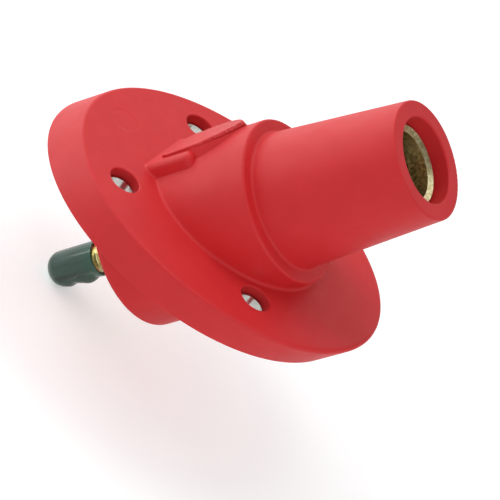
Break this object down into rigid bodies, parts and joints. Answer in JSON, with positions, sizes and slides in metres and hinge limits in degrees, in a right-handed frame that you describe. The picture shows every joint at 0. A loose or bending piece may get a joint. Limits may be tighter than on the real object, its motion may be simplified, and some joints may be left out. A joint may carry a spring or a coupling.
{
  "type": "single pole cam connector",
  "caption": "Angled panel receptacle of a single-pole cam-type power connector: oval elastomer flange, brass socket contact and capped threaded stud.",
  "frame": {"origin": "centre of the four screw holes, on the flange's rear face, which lies on the panel", "axes": "+Z is square to the panel and points out of it; the tube leans 30 degrees from +Z towards +X; the part is the same on both sides of the XZ plane"},
  "size_m": [0.0993, 0.0806, 0.1092],
  "materials": {
    "housing": "satin moulded red elastomer",
    "contact": "turned",
    "sleeves": "plated",
    "pin": "bright rolled",
    "cap": "dipped dark green vinyl"
  },
  "bodies": {
    "root": {"insulator_housing": "housing", "contact": "contact", "mounting_sleeve_1": "sleeves", "mounting_sleeve_2": "sleeves", "mounting_sleeve_3": "sleeves", "mounting_sleeve_4": "sleeves", "cam_pin": "pin", "stud_cap": "cap"}
  },
  "joints": []
}
